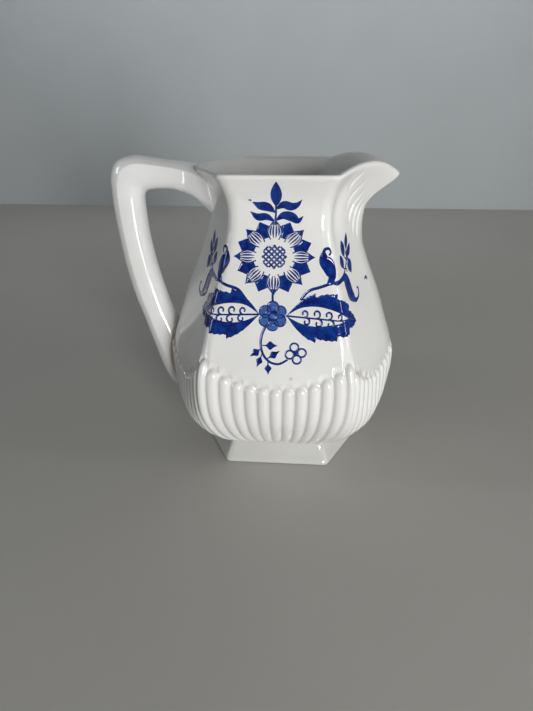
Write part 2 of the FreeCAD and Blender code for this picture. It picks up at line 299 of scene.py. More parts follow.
def vessel_rings(z, distance, side, place, bulging=False):
    """Rings of the vessel at heights z, each moved inwards by distance; only the outside bulges."""
    z = np.asarray(z, float)
    distance = np.broadcast_to(np.asarray(distance, float), z.shape)
    flat = eased_points(inset(corners_at(z), distance), eases_at(z), side, place)
    if bulging:
        flat = flat + side_bulge(z, side, place)
    rim = eased_points(corners_at(np.array([RIM])), eases_at(np.array([RIM])), side, place)[0]
    height = z[:, None] + smooth_step(LIFT_BASE, RIM, z)[:, None] * lip_rise(rim[:, 0])[None, :]
    return np.concatenate([flat, height[..., None]], axis=-1)


# ---- relief of the belly
def reed_relief(z, side, place):
    """Height of the relief over the plain panel: (heights, around), and how deep in a groove it is."""
    counts = np.array(REEDS)[side]
    along = place * counts
    nearest = np.round(along)
    across = 2 * (along - nearest)
    reed_place = nearest / counts
    from_middle = 2 * reed_place - 1
    middle = np.array([MID_TIP[count] for count in REEDS])[side]
    ends = np.array(SIDE_TIPS)[side, np.where(from_middle < 0, 0, 1)]
    tips = middle + (ends - middle) * from_middle**2
    z = z[:, None]
    over = np.maximum(0, (z - (tips[None, :] - REED_TIP_LENGTH)) / REED_TIP_LENGTH)
    under = np.maximum(0, (FOOT_TOP + REED_START - z) / REED_START_LENGTH)
    reach = np.sqrt(across[None, :] ** 2 + over**2 + under**2)
    is_corner = (reed_place == 0) | (reed_place == 1)
    shrink = curve_through(PANEL_PROFILE, z) / WIDEST
    height = REED_HEIGHT * shrink * np.where(is_corner, CORNER_REED, 1.0)[None, :]
    inside = height * (1 - np.minimum(reach, 1) ** REED_ROUNDNESS)
    outside = PANEL_LEVEL * smooth_step(*PANEL_EDGE, reach) * np.where(z < LOW_BELLY, LOW_LEVEL, 1.0)
    level = PANEL_LEVEL * np.where(z < LOW_BELLY, shrink, 1.0)
    relief = inside + outside - level
    # painted shade: this mask greys the grooves between the reeds in the material
    groove = np.exp(-((reach - 1.0) / GROOVE_WIDTH) ** 2)
    reeded = np.where((side == HANDLE_SIDE) & (np.abs(place - 0.5) < HANDLE_COVER), 0.0, 1.0)
    return relief * reeded, groove * reeded


# Fine grooves on each flank of the spout: upper and lower end as (share of the way to the nose, height).
FEATHERS = [((0.40, 112.0), (0.33, 107.2)), ((0.58, 108.4), (0.43, 101.6)), ((0.70, 105.6), (0.54, 96.0)),
            ((0.79, 103.4), (0.66, 91.6)), ((0.88, 101.6), (0.79, 89.6))]
FEATHER_DEPTH = 0.72
FEATHER_WIDTH = 0.5
FEATHER_BOW = 0.03  # how far a groove bows away from the nose, as a share of the flank
FEATHER_FADE = 0.6  # exponent of its fading towards both ends
FLANK_LENGTH = 28.0  # a flank's length in plan, about
OFF_FLANK = -9.0  # stands for a place that is not on a flank

# The flank also dips in a soft valley between the front corner and the spout.
VALLEY_SHARE = 0.2
VALLEY_DEPTH = 0.7
VALLEY_WIDTH = 3.4
VALLEY_START = (86.0, 97.0)  # heights over which it comes in
VALLEY_END = (114.0, 108.0)  # and goes out again, from the top down


def spout_dips(z, side, place):
    """How far the spout's flanks lie under their plain surface, for each height and place."""
    share = np.where(side == 7, place, np.where(side == 1, 1 - place, OFF_FLANK))[None, :]
    corners = corners_at(z)
    length = np.linalg.norm(corners[:, 0] - corners[:, 7], axis=-1)[:, None]
    z = z[:, None]
    valley = np.exp(-((share - VALLEY_SHARE) * length / VALLEY_WIDTH) ** 2)
    depth = VALLEY_DEPTH * valley * smooth_step(*VALLEY_START, z) * smooth_step(*VALLEY_END, z)
    for (top_share, top_z), (low_share, low_z) in FEATHERS:
        down = (top_z - z) / (top_z - low_z)
        inside = np.clip(down, 0, 1)
        middle = top_share + (low_share - top_share) * down - FEATHER_BOW * np.sin(math.pi * inside)
        lean = math.hypot(1.0, (top_share - low_share) * FLANK_LENGTH / (top_z - low_z))
        across = (share - middle) * length / lean
        fade = np.abs(np.sin(math.pi * inside)) ** FEATHER_FADE
        depth = depth + FEATHER_DEPTH * fade * np.exp(-(across / FEATHER_WIDTH) ** 2)
    return depth


# Small brown stains in the glaze: place, radius and strength.
STAINS = [((30.3, -42.1, 46.8), 1.8, 0.5), ((33.2, -37.0, 43.4), 1.4, 0.35), ((5.6, -47.7, 46.7), 0.45, 0.8),
          ((18.9, -32.6, 7.4), 0.9, 0.6)]
SEAM_HALF = 8.8  # half-width of the handle where it is luted to the belly
SEAM_STAIN = 0.75
SEAM_SPREAD = 2.3
SEAM_TOP = (55.0, 50.0)  # heights over which the seam's stain comes in, from the top down
SEAM_BOTTOM = (14.0, 20.0)  # and from the bottom up


def stain_at(points):
    """Strength of the brown staining at each point: single spots, and the seam under the handle."""
    amount = np.zeros(len(points))
    for place, radius, strength in STAINS:
        far = np.linalg.norm(points - np.array(place), axis=1)
        amount = np.maximum(amount, strength * np.exp(-(far / radius) ** 2))
    x, y, z = points.T
    far = np.hypot(x + END_REACH * curve_through(PANEL_PROFILE, z), np.abs(y) - SEAM_HALF)
    seam = SEAM_STAIN * np.exp(-(far / SEAM_SPREAD) ** 2)
    return np.maximum(amount, seam * smooth_step(*SEAM_TOP, z) * smooth_step(*SEAM_BOTTOM, z))


def paint(obj, name, values):
    """Store one number per point for the materials to read."""
    attribute = obj.data.attributes.new(name, "FLOAT", "POINT")
    attribute.data.foreach_set("value", np.asarray(values, np.float32))


def outward_normals(grid):
    """Unit normals of a closed grid whose rows go up and whose columns go counter-clockwise."""
    around = np.roll(grid, -1, axis=1) - np.roll(grid, 1, axis=1)
    up = np.gradient(grid, axis=0)
    return unit(np.cross(around, up))


# ---- pieces
def stretch_rows(*stretches):
    """Heights from (low, high, step) stretches, low included, high left to the next stretch."""
    heights = []
    for low, high, step in stretches:
        count = max(1, round((high - low) / step))
        heights += [low + (high - low) * k / count for k in range(count)]
    return np.array(heights)


LIP_START = 113.2  # the rounded lip begins here
LIP_RINGS = 9
# Mesh rows outside and inside as (low, high, step) stretches, fine at both ends of the reeds and at the neck.
OUTER_ROWS = [(FOOT_TOP, 12.5, 0.45), (12.5, 37.5, 1.5), (37.5, 53.5, 0.5), (53.5, 86.0, 2.1),
              (86.0, LIP_START, 0.8)]
INNER_ROWS = [(16.0, 96.0, 4.0), (96.0, 112.0, 1.4)]
# Where the inner wall turns into the floor: height, and how far in from the outside at the inner rows' foot.
FLOOR_TURN = [(14.0, 4.1), (12.4, 4.8), (11.2, 5.8), (10.3, 7.4), (9.8, 9.2), (FLOOR_TOP, 12.0)]


def at_heights(flat, heights):
    """Rings of plan points put at one height each."""
    return np.concatenate([flat, np.broadcast_to(heights[:, None, None], flat.shape[:2] + (1,))], axis=-1)


def make_body():
    side, place = ring_places(REED_STEPS)
    heights = stretch_rows(*OUTER_ROWS)
    outer = vessel_rings(heights, 0.0, side, place, bulging=True)
    relief, groove = reed_relief(heights, side, place)
    relief = relief - spout_dips(heights, side, place)
    outer = outer + outward_normals(outer) * relief[..., None]
    lip_angles = np.linspace(0, math.pi, LIP_RINGS)
    lip_z = LIP_START + (RIM - LIP_START) * np.sin(lip_angles)
    lip_inset = 0.5 * WALL * (1 - np.cos(lip_angles))
    lip = vessel_rings(np.minimum(lip_z, RIM), lip_inset, side, place)
    inner = vessel_rings(stretch_rows(*INNER_ROWS)[::-1], WALL, side, place)
    floor_z, floor_inset = np.array(FLOOR_TURN).T
    wall_foot = corners_at(np.full(len(FLOOR_TURN), INNER_ROWS[0][0]))
    floor_flat = eased_points(inset(wall_foot, floor_inset), eases_at(floor_z), side, place)
    floor = at_heights(floor_flat, floor_z)
    rings = np.concatenate([outer, lip, inner, floor])
    obj, points = closed_object("body_glazed", rings, (0, 0, FOOT_TOP), (0, 0, FLOOR_TOP))
    # painted shade for the grooves, stored per point for the material
    groove_shade_values = np.zeros(len(points))
    groove_shade_values[:groove.size] = groove.ravel()
    paint(obj, "painted_groove_shade", groove_shade_values)
    paint(obj, "stain", stain_at(points))
    return obj


FOOT_STEPS = 3  # mesh steps for each of the body's reeds
FOOT_OVERLAP = 0.3  # the foot's top runs this far up into the body
FOOT_OVERLAP_HALF = 18.0
FOOT_FRONT_ROUNDING = 1.6
FOOT_END_ROUNDING = 5.6
BLUNT_CORNERS = [0, 1, 4, 5]
FOOT_ROWS = np.concatenate([np.linspace(FOOT_TOP, 1.5, 8), [0.9, 0.45, 0.15, 0.0]])
# The recess underneath, from the standing edge up: height and panel half-width.
RECESS = [(0.0, RECESS_HALF + 1.0), (0.4, RECESS_HALF + 0.3), (1.2, RECESS_HALF),
          (RECESS_TOP, RECESS_HALF - 0.6)]


def make_foot():
    side, place = ring_places(FOOT_STEPS)
    recess_heights, recess_halves = np.array(RECESS).T
    heights = np.concatenate([[FOOT_TOP + FOOT_OVERLAP], FOOT_ROWS, recess_heights])
    halves = np.concatenate([[FOOT_OVERLAP_HALF], curve_through(FOOT_PROFILE, FOOT_ROWS), recess_halves])
    eases = np.full((len(halves), 8), FOOT_FRONT_ROUNDING)
    eases[:, BLUNT_CORNERS] = FOOT_END_ROUNDING
    rings = at_heights(eased_points(plain_corners(halves), eases, side, place), heights)
    centres = (0, 0, heights[0]), (0, 0, RECESS_TOP)
    obj, points = closed_object("foot_ring_glazed", rings, *centres, upwards=False)
    paint(obj, "stain", stain_at(points))
    return obj


# Outer and inner edge of the handle in the plane Y = 0, from the rim round to the belly.
HANDLE_OUTER = [
    (-32.6, 114.2), (-35.0, 115.2), (-39.0, 115.9), (-46.0, 116.6), (-53.0, 117.5), (-59.5, 118.0),
    (-65.6, 115.9), (-68.1, 111.0), (-68.5, 104.0), (-68.3, 96.0), (-67.4, 86.0), (-66.1, 75.0),
    (-63.8, 63.0), (-60.4, 51.5), (-56.9, 39.5), (-53.4, 28.0), (-49.6, 20.5), (-44.0, 16.0),
]
HANDLE_INNER = [
    (-27.0, 95.0), (-30.5, 98.6), (-36.5, 102.8), (-43.0, 105.1), (-49.0, 105.4), (-53.3, 104.9),
    (-55.2, 103.6), (-55.8, 101.0), (-55.8, 98.0), (-55.5, 92.5), (-54.8, 85.0), (-53.2, 75.5),
    (-50.8, 65.0), (-47.6, 54.5), (-42.5, 44.0), (-38.0, 33.0), (-35.5, 26.0), (-33.0, 20.0),
]
HANDLE_HALF_THICKNESS = 6.6  # times the flare at each station
HANDLE_FLARE = [2.0, 1.58, 1.2, 1.05] + [1] * 9 + [1.06, 1.22, 1.32, 1.25, 0.9]
HANDLE_RINGS = 170
HANDLE_STEPS = 5  # mesh steps between two points of a section
# Half of the section as (towards the outer edge, across); its doubled point is the edge of the front face.
ARM_SECTION = [(1.0, 0.0), (0.90, 0.52), (0.60, 0.98), (0.58, 1.0), (0.15, 1.0), (-0.45, 0.93), (-0.88, 0.58),
               (-1.0, 0.0)]
STEM_SECTION = [(1.0, 0.0), (1.0, 0.60), (0.42, 0.98), (0.40, 1.0), (-0.05, 1.0), (-0.50, 0.92),
                (-0.90, 0.58), (-1.0, 0.0)]
ARM_TO_STEM = (4.0, 7.0)  # stations over which one section turns into the other
ROOT_STATIONS = 2.5  # the arm's root follows the slanting sides of the neck over these stations
ROOT_SLANT = 0.49  # shift along X for each millimetre across
ROOT_FLAT = 6.8  # half-width that meets the blunt end and needs no shift


def closed_curve(points, steps):
    """Closed smooth curve that passes near the points, with steps between each two."""
    points = np.asarray(points, float)
    count = len(points)
    result = []
    for i in range(count):
        a, b, c, d = (points[(i + k - 1) % count] for k in range(4))
        for k in range(steps):
            t = k / steps
            weights = ((1 - t) ** 3, 3 * t**3 - 6 * t**2 + 4, -3 * t**3 + 3 * t**2 + 3 * t + 1, t**3)
            result.append((weights[0] * a + weights[1] * b + weights[2] * c + weights[3] * d) / 6)
    return np.array(result)


def handle_section(half):
    """Whole section from its half, reaching 1 both ways."""
    whole = half + [(share, -across) for share, across in half[-2:0:-1]]
    curve = closed_curve(whole, HANDLE_STEPS)
    return curve / np.abs(curve).max(axis=0)


def make_handle():
    stations = np.arange(len(HANDLE_OUTER), dtype=float)
    fine = np.linspace(0, stations[-1], HANDLE_RINGS)
    outer = curve_points(HANDLE_OUTER, stations, fine)
    inner = curve_points(HANDLE_INNER, stations, fine)
    thickness = HANDLE_HALF_THICKNESS * curve_through(list(zip(stations, HANDLE_FLARE)), fine)
    stem = smooth_step(*ARM_TO_STEM, fine)[:, None, None]
    section = handle_section(ARM_SECTION)[None] * (1 - stem) + handle_section(STEM_SECTION)[None] * stem
    middle = 0.5 * (outer + inner)
    half = 0.5 * (outer - inner)
    in_plane = middle[:, None, :] + half[:, None, :] * section[..., 0:1]
    across = thickness[:, None] * section[..., 1]
    root = 1 - smooth_step(0.0, ROOT_STATIONS, fine)
    along = in_plane[..., 0] + root[:, None] * ROOT_SLANT * np.maximum(np.abs(across) - ROOT_FLAT, 0)
    rings = np.stack([along, across, in_plane[..., 1]], axis=-1)
    obj, points = closed_object("handle_glazed", rings, rings[0].mean(axis=0), rings[-1].mean(axis=0))
    paint(obj, "stain", stain_at(points))
    return obj


# ---- blue print
PRINT_LIFT = 0.05  # the film's top over the glaze
PRINT_LEVEL = 0.02  # each further layer of the film
PRINT_ROOT = 0.10  # its underside, below the glaze
DARK, MID = 0, 1  # the print's two strengths of blue
MIRROR_LINE = -1.5  # the flower's middle, about which the side sprays mirror

FRONT_SIDES = (5, 6, 7)  # sides of the plan that the front print covers, left to right
BACK_SIDES = (1, 2, 3)
WIDE_STROKE = 0.8  # strokes with a half-width from here up get more columns
LEAST_HALF = 0.03  # least half-width of a stroke
LEAST_RADIUS = 0.02  # radius of the pinhole in the middle of a disc
NORMAL_REACH = 0.05  # distance over which the wall's slope is taken


def wall_point(w, z, sides):
    """Point of the wall at distance w along the plan from the panel's middle, at height z."""
    corners = corners_at(z)
    half = np.abs(corners[:, 2, 0])
    left = np.linalg.norm(corners[:, sides[1]] - corners[:, sides[0]], axis=-1)
    right = np.linalg.norm(corners[:, (sides[2] + 1) % 8] - corners[:, sides[2]], axis=-1)
    side = np.where(w > half, sides[2], np.where(w < -half, sides[0], sides[1]))
    place = np.where(w > half, (w - half) / right,
                     np.where(w < -half, 1 + (w + half) / left, (w + half) / (2 * half)))
    flat = eased_points(corners, eases_at(z), side[:, None], place[:, None])[:, 0]
    return np.concatenate([flat, z[:, None]], axis=-1)


def lengths_along(points):
    """Distance from the first point to each point, along the straight pieces between them."""
    return np.concatenate([[0], np.cumsum(np.linalg.norm(np.diff(points, axis=0), axis=1))])


def along_curve(points, step=0.6):
    """Points spaced along a smooth curve through the given ones."""
    lengths = lengths_along(points)
    count = max(3, int(lengths[-1] / step) + 1)
    return curve_points(points, lengths, np.linspace(0, lengths[-1], count))


class PrintFilm:
    """Collects thin closed patches drawn in panel coordinates (w, z)."""

    def __init__(self):
        self.flat = []
        self.lift = []
        self.faces = []
        self.tones = []

    def grid(self, grid, tone=DARK, layer=0, closed=False):
        """One patch from a rows x columns grid of (w, z) points."""
        rows, columns = grid.shape[:2]
        first = len(self.flat)
        count = rows * columns
        flat = grid.reshape(-1, 2)
        self.flat += flat.tolist() * 2
        self.lift += [PRINT_LIFT + PRINT_LEVEL * layer] * count + [-PRINT_ROOT] * count
        last = rows if closed else rows - 1
        faces = []
        for row in range(last):
            below, above = first + row * columns, first + ((row + 1) % rows) * columns
            for column in range(columns - 1):
                quad = (below + column, below + column + 1, above + column + 1, above + column)
                faces += [quad, tuple(v + count for v in reversed(quad))]
            for column, flip in ((0, True), (columns - 1, False)):
                wall = (below + column, above + column, above + column + count, below + column + count)
                faces.append(wall[::-1] if flip else wall)
        if not closed:
            for row, flip in ((0, False), (rows - 1, True)):
                base = first + row * columns
                for column in range(columns - 1):
                    here, after = base + column, base + column + 1
                    wall = (here, here + count, after + count, after)
                    faces.append(wall if flip else wall[::-1])
        turn = signed_turn(grid)
        self.faces += [face[::-1] for face in faces] if turn < 0 else faces
        self.tones += [tone] * len(faces)

    def stroke(self, points, half_widths, tone=DARK, layer=0, step=0.6):
        """Brush stroke through the points; its half-width runs through the given values."""
        path = along_curve(points, step)
        share = np.linspace(0, 1, len(path))
        keys = np.linspace(0, 1, len(half_widths))
        widths = np.maximum(curve_through(list(zip(keys, half_widths)), share), LEAST_HALF)
        ahead = unit(np.gradient(path, axis=0))
        side = np.stack([-ahead[:, 1], ahead[:, 0]], axis=-1)
        columns = 3 if max(half_widths) < WIDE_STROKE else 5
        across = np.linspace(-1, 1, columns)
        self.grid(path[:, None] + side[:, None] * (widths[:, None] * across[None])[..., None], tone, layer)

    def leaf(self, base, tip, half_width, tone=DARK, layer=0):
        """Pointed oval from base to tip."""
        self.stroke([base, np.add(base, tip) / 2, tip],
                    [0.05, 0.8 * half_width, half_width, 0.7 * half_width, 0.03], tone, layer, step=0.45)

    def band(self, inner, outer, tone=DARK, layer=0, columns=5):
        """Patch between two curves that have as many points as each other."""
        share = np.linspace(0, 1, columns)[None, :, None]
        self.grid(inner[:, None] * (1 - share) + outer[:, None] * share, tone, layer)

    def ring(self, centre, radius, half_width, tone=DARK, layer=0, squash=1.0, steps=28):
        """Round line, or a disc when its half-width equals its radius."""
        angles = np.linspace(0, 2 * math.pi, steps, endpoint=False)
        columns = 3 if half_width < WIDE_STROKE else 5
        across = np.maximum(np.linspace(radius - half_width, radius + half_width, columns), LEAST_RADIUS)
        w = centre[0] + across[None] * np.cos(angles)[:, None]
        z = centre[1] + across[None] * np.sin(angles)[:, None] * squash
        self.grid(np.stack([w, z], axis=-1), tone, layer, closed=True)

    def build(self, name, sides):
        """Wrap all patches round the three sides of the wall."""
        w, z = np.array(self.flat).T
        base = wall_point(w, z, sides)
        along = wall_point(w + NORMAL_REACH, z, sides) - wall_point(w - NORMAL_REACH, z, sides)
        up = wall_point(w, z + NORMAL_REACH, sides) - wall_point(w, z - NORMAL_REACH, sides)
        normals = unit(np.cross(along, up))
        points = base + normals * np.array(self.lift)[:, None]
        obj = make_object(name, points, self.faces)
        obj.data.polygons.foreach_set("material_index", self.tones)
        return obj


def signed_turn(grid):
    """Positive when the grid's rows and columns turn counter-clockwise."""
    rows, columns = grid.shape[:2]
    total = 0.0
    for row in (0, rows // 2, rows - 2):
        for column in (0, (columns - 1) // 2):
            corner = grid[row, column]
            a, b = grid[row, column + 1] - corner, grid[row + 1, column] - corner
            total += a[0] * b[1] - a[1] * b[0]
    return total


FLOWER = (MIRROR_LINE, 87.2)
FLOWER_SQUASH = 0.885
PETALS = 8
PETAL_START, PETAL_TIP = 6.4, 14.0
# Half-width of the striped petals, and of the dark ones between them, at each radius.
PETAL_WIDTHS = [(PETAL_START, 1.45), (7.8, 2.05), (9.4, 2.4), (11.0, 2.0), (12.4, 1.15), (13.4, 0.4),
                (PETAL_TIP, 0.04)]
DARK_WIDTHS = [(7.6, 3.2), (10.8, 2.9), (11.6, 2.4), (12.6, 1.4), (PETAL_TIP, 0.05)]
DARK_START = 7.4
PETAL_LINE = 0.25  # half-width of a petal's outline
STRIPES = [(0.24, 7.0, 12.4), (0.66, 7.8, 11.8)]  # place across the petal, first and last radius
STRIPE_SWELL = 0.34
STRIPE_TURN = (0.25, math.pi - 0.3)  # stretch of a sine that gives the stripe's swell
TIP_START, TIP_HALF, TIP_OVER = 12.0, 1.25, 0.5  # the solid point that ends each striped petal
DISC = 4.35  # radius of the hatched middle
HATCH_LINE = 0.31
HATCH_END = 0.3
HATCH_SPACING = 1.4
HATCH_EACH_WAY = 3  # lines on each side of the middle one


def flower_points(angle, radius, across):
    """Panel points at a radius along a petal's axis and a distance across it."""
    w = FLOWER[0] + radius * math.sin(angle) + across * math.cos(angle)
    z = FLOWER[1] + FLOWER_SQUASH * (radius * math.cos(angle) - across * math.sin(angle))
    return np.stack([w, z], axis=-1)


def draw_blade(film, angle, radii, centre, half, columns):
    """Patch along a petal's axis, from centre - half to centre + half across it."""
    left = flower_points(angle, radii, centre - half)
    film.band(left, flower_points(angle, radii, centre + half), columns=columns)


def draw_striped_petal(film, angle):
    radii = np.linspace(PETAL_START, PETAL_TIP, 20)
    widths = curve_through(PETAL_WIDTHS, radii)
    for sign in (-1, 1):
        outer = flower_points(angle, radii, sign * (widths + PETAL_LINE))
        inner = flower_points(angle, radii, sign * np.maximum(widths - PETAL_LINE, 0.0))
        film.band(inner, outer, columns=3)
        for place, start, end in STRIPES:
            line = np.linspace(start, end, 12)
            centre = sign * place * curve_through(PETAL_WIDTHS, line)
            swell = STRIPE_SWELL * np.sin(np.linspace(*STRIPE_TURN, 12))
            draw_blade(film, angle, line, centre, swell, 3)
    tip_radii = np.linspace(TIP_START, PETAL_TIP + TIP_OVER, 6)
    draw_blade(film, angle, tip_radii, 0.0, np.linspace(TIP_HALF, LEAST_HALF, 6), 3)


def draw_dark_petal(film, angle):
    """The dark petal behind two striped ones, which fills the gap between them."""
    radii = np.linspace(DARK_START, PETAL_TIP, 16)
    gap = radii * math.sin(math.pi / PETALS) - curve_through(PETAL_WIDTHS, radii)
    half = np.clip(np.minimum(gap, curve_through(DARK_WIDTHS, radii)), LEAST_HALF, None)
    draw_blade(film, angle, radii, 0.0, half, 5)


def draw_hatched_disc(film):
    for sign in (-1, 1):
        diagonal = np.array([math.cos(sign * math.pi / 4), math.sin(sign * math.pi / 4)])
        side = np.array([-diagonal[1], diagonal[0]])
        for number in range(-HATCH_EACH_WAY, HATCH_EACH_WAY + 1):
            offset = number * HATCH_SPACING
            reach = math.sqrt(DISC**2 - offset**2)
            ends = [diagonal * s * reach + side * offset for s in (-1, 0, 1)]
            places = [(FLOWER[0] + e[0], FLOWER[1] + FLOWER_SQUASH * e[1]) for e in ends]
            film.stroke(places, [HATCH_END, HATCH_LINE, HATCH_END], layer=0 if sign < 0 else 1)


def draw_flower(film):
    for petal in range(PETALS):
        angle = 2 * math.pi * petal / PETALS
        draw_striped_petal(film, angle)
        draw_dark_petal(film, angle + math.pi / PETALS)
    draw_hatched_disc(film)


# The sprays are drawn as (w, z) points of the panel, with the brush's half-widths along each stroke.
def draw_top_spray(film):
    """Bud over the flower, two pairs of curling leaves, and a fleck beside them."""
    film.leaf((-1.1, 103.9), (-0.9, 113.0), 1.95)
    film.stroke([(-1.1, 104.6), (-1.2, 101.0), (-1.5, 98.2)], [0.36, 0.34, 0.4], layer=1)
    film.stroke([(-1.1, 103.2), (1.5, 104.7), (4.4, 104.1), (6.4, 104.9), (7.8, 106.6)],
                [0.2, 1.2, 1.45, 0.95, 0.03])
    film.stroke([(-1.1, 99.3), (1.6, 101.0), (4.4, 100.5), (6.6, 99.3), (8.4, 100.9)],
                [0.2, 1.2, 1.6, 1.1, 0.03])
    film.stroke([(-1.4, 102.0), (-4.2, 103.9), (-7.0, 104.4), (-9.2, 105.6)], [0.2, 1.45, 1.4, 0.1])
    film.stroke([(-10.6, 106.2), (-10.0, 106.3), (-9.6, 105.9)], [0.1, 0.3, 0.1], step=0.3)
    film.stroke([(-1.6, 98.9), (-4.5, 100.5), (-7.4, 100.4), (-10.2, 102.3)], [0.2, 1.15, 1.2, 0.05])


ROSETTE = (MIRROR_LINE, 67.8)
ROSETTE_SQUASH = 0.94
ROSETTE_LOBES = 6
ROSETTE_REACH = 3.1  # from its middle to the middle of each lobe
LOBE_FILL = 1.05
LOBE_RADIUS, LOBE_LINE = 2.05, 0.24
EYE_FILL = 1.2
EYE_RADIUS, EYE_LINE = 1.5, 0.42


def draw_rosette(film):
    """Pale rosette with dark outlines, where the leaves meet, and the stem up to the flower."""
    film.stroke([(-1.6, 76.6), (-1.7, 74.3), (-1.6, 71.8)], [0.42, 0.4, 0.4])
    for lobe in range(ROSETTE_LOBES):
        angle = math.pi / 2 + 2 * math.pi * lobe / ROSETTE_LOBES
        place = (ROSETTE[0] + ROSETTE_REACH * math.cos(angle),
                 ROSETTE[1] + ROSETTE_REACH * ROSETTE_SQUASH * math.sin(angle))
        film.ring(place, LOBE_FILL, LOBE_FILL, MID, 1, ROSETTE_SQUASH)
        film.ring(place, LOBE_RADIUS, LOBE_LINE, DARK, 2, ROSETTE_SQUASH)
    film.ring(ROSETTE, EYE_FILL, EYE_FILL, MID, 1, ROSETTE_SQUASH)
    film.ring(ROSETTE, EYE_RADIUS, EYE_LINE, DARK, 3, ROSETTE_SQUASH)


TOOTH_LENGTH = 2.1
TOOTH_RISE = 0.42
TOOTH_FADE_IN = (3.0, 9.0)  # the small teeth grow over this distance from the leaf's base
TOOTH_FADE_OUT = (0.0, 2.0)  # and shrink this near to its tip


def toothed(lobes):
    """Outline whose lobes each end in a big tooth, with small saw teeth along them away from the base."""
    outline = np.concatenate([along_curve(lobe, 0.4) for lobe in lobes])
    travelled = np.abs(outline[:, 0] - outline[0, 0])
    to_tip = np.abs(outline[:, 0] - outline[-1, 0])
    saw = np.mod(travelled, TOOTH_LENGTH) / TOOTH_LENGTH
    rise = TOOTH_RISE * saw * smooth_step(*TOOTH_FADE_IN, travelled) * smooth_step(*TOOTH_FADE_OUT, to_tip)
    outward = np.sign(outline[:, 1].mean() - outline[0, 1])
    outline[:, 1] += outward * rise
    return outline


def match_length(points, count):
    """The curve again with as many points as count."""
    lengths = lengths_along(points)
    at = np.linspace(0, lengths[-1], count)
    return np.stack([np.interp(at, lengths, points[:, k]) for k in (0, 1)], axis=-1)


# Each big leaf: base, tip, end of its white lens, the toothed lobes of both edges, and the lens's two sides.
RIGHT_LEAF = (
    (3.3, 68.0), (34.4, 64.0), (28.2, 66.3),
    [[(3.3, 68.0), (6.7, 71.5), (9.3, 73.5), (13.5, 75.2)],
     [(13.5, 74.1), (17.0, 75.0), (21.8, 75.0)],
     [(21.4, 73.4), (24.6, 72.5), (29.2, 70.1)],
     [(28.2, 69.0), (31.6, 66.8), (34.4, 64.0)]],
    [[(3.3, 68.0), (8.0, 62.8), (11.0, 60.7), (13.8, 59.6)],
     [(14.2, 60.8), (18.1, 60.2), (21.6, 60.2)],
     [(21.7, 62.0), (24.6, 61.4), (27.8, 61.8)],
     [(27.2, 63.8), (30.6, 63.2), (34.4, 64.0)]],
    [(8.3, 70.6), (13.7, 71.2), (20.1, 70.0)],
    [(8.4, 65.7), (14.4, 64.7), (20.3, 65.4)],
)
LEFT_LEAF = (
    (-6.2, 68.3), (-35.1, 66.9), (-29.0, 67.6),
    [[(-6.2, 68.3), (-9.0, 71.6), (-12.4, 74.6), (-16.4, 76.4)],
     [(-16.6, 74.9), (-20.0, 75.4), (-24.4, 76.0)],
     [(-24.2, 74.2), (-27.2, 73.4), (-31.0, 72.2)],
     [(-30.2, 70.2), (-32.6, 69.0), (-35.1, 66.9)]],
    [[(-6.2, 68.3), (-11.0, 63.7), (-14.2, 61.6), (-18.0, 60.0)],
     [(-17.8, 61.5), (-21.0, 61.4), (-25.0, 61.6)],
     [(-24.6, 63.4), (-27.0, 63.0), (-30.0, 63.2)],
     [(-29.6, 65.2), (-32.4, 65.4), (-35.1, 66.9)]],
    [(-11.8, 71.4), (-16.8, 71.8), (-22.4, 70.8)],
    [(-11.6, 66.1), (-17.1, 65.4), (-22.2, 66.3)],
)
SCROLL_SIZES = (1.3, 1.5, 1.45, 1.15)
SCROLL_START = 0.26  # place of the first scroll, as a share of the lens
SCROLL_SPACING = 0.17
SCROLL_STAGGER = 0.03  # the lower row is shifted towards the tip by this
SCROLL_TURN = 1.75 * math.pi  # how far each one curls
SCROLL_SHRINK = 0.58  # how much its radius shrinks on the way


def draw_scroll(film, foot, size, direction, row):
    """Hook that leaves the midrib towards the tip and rolls back in."""
    turn = np.linspace(0, 1, 12)
    radius = size * (1 - SCROLL_SHRINK * turn)
    angle = -0.5 * math.pi + SCROLL_TURN * turn
    w = foot[0] + direction * radius * np.cos(angle)
    z = foot[1] + row * (radius * np.sin(angle) + size)
    film.stroke(np.stack([w, z], axis=-1), [0.34, 0.34, 0.3], layer=1, step=0.35)


def draw_big_leaf(film, direction, leaf):
    """Serrated leaf with a white lens that holds a midrib and two rows of scrolls."""
    base, tip, lens_end, upper, lower, lens_upper, lens_lower = leaf
    for lobes, lens in ((upper, lens_upper), (lower, lens_lower)):
        outer = toothed(lobes)
        inner = along_curve([base] + lens + [lens_end, tip], 0.5)
        film.band(match_length(inner, len(outer)), outer, columns=7)
    film.stroke([base, np.add(base, lens_end) / 2, lens_end], [0.3, 0.28, 0.2], layer=1)
    axis = np.subtract(lens_end, base)
    for row in (-1, 1):
        for number, size in enumerate(SCROLL_SIZES):
            share = SCROLL_START + SCROLL_SPACING * number + (SCROLL_STAGGER if row < 0 else 0.0)
            draw_scroll(film, np.add(base, axis * share), size, direction, row)


